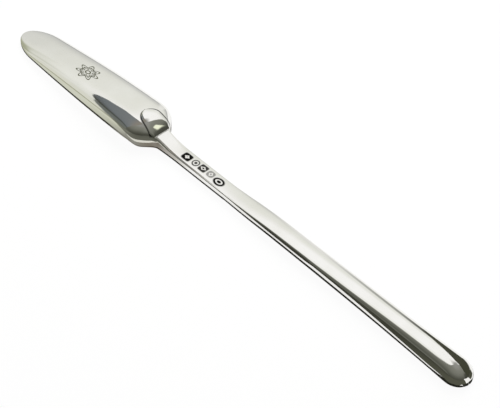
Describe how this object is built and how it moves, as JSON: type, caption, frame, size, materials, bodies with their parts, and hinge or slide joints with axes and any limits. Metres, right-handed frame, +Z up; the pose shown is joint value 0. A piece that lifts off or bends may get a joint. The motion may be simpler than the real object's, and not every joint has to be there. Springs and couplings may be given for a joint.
{
  "type": "marrow scoop",
  "caption": "Silver table scoop for bone marrow: a wide tapered gouge and a long narrow gouge at opposite ends of a slim bar, with a raised tongue on the wide heel.",
  "frame": {"origin": "under the middle of the scoop, on the surface that it lies on, hollows down", "axes": "+X along the scoop towards the narrow tip, +Z up out of the backs, +Y to the left of +X"},
  "size_m": [0.23, 0.02, 0.0098],
  "materials": {
    "silver": "polished sterling silver with fine wear"
  },
  "bodies": {
    "root": {"wide_scoop": "silver", "drop": "silver", "stem": "silver", "narrow_scoop": "silver"}
  },
  "joints": []
}
